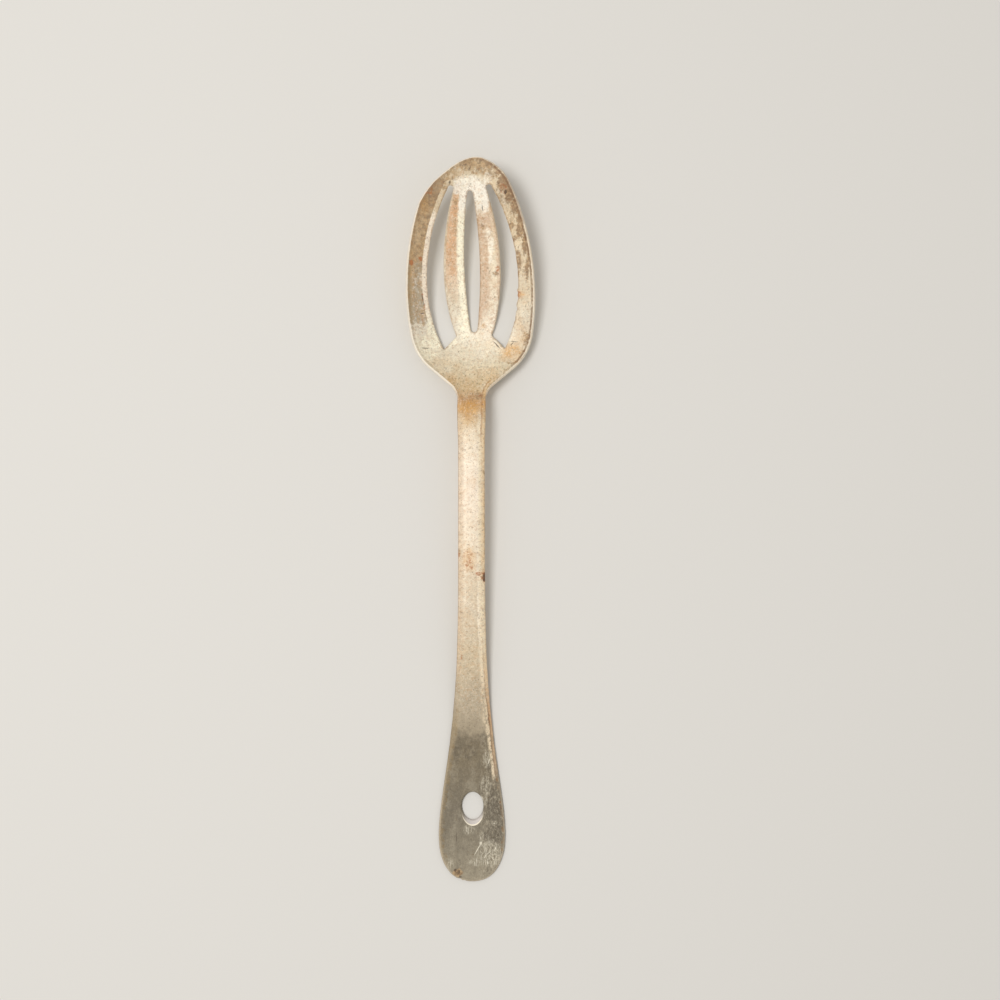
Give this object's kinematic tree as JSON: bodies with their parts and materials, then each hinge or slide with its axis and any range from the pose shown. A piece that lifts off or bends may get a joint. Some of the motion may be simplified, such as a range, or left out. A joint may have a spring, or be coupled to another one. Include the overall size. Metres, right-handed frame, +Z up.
{
  "type": "slotted spoon",
  "caption": "Slotted cooking spoon pressed from tinned sheet steel: an egg-shaped bowl with long slots, and an arched handle that widens to a flat paddle with a hanging hole.",
  "frame": {"origin": "on the table plane, under the middle of the spoon's bounding box", "axes": "+Y from the paddle towards the tip of the bowl, +Z up with the hollow of the bowl facing up, +X to the right seen from above"},
  "size_m": [0.0526, 0.2946, 0.0207],
  "materials": {
    "worn_tinned_steel": "old hot-dipped tin, satin and finely speckled, cream on the bowl and stem, olive grey on the paddle, with brown stains, specks of rust and bright worn edges"
  },
  "bodies": {
    "root": {"spoon_pressing": "worn_tinned_steel"}
  },
  "joints": []
}
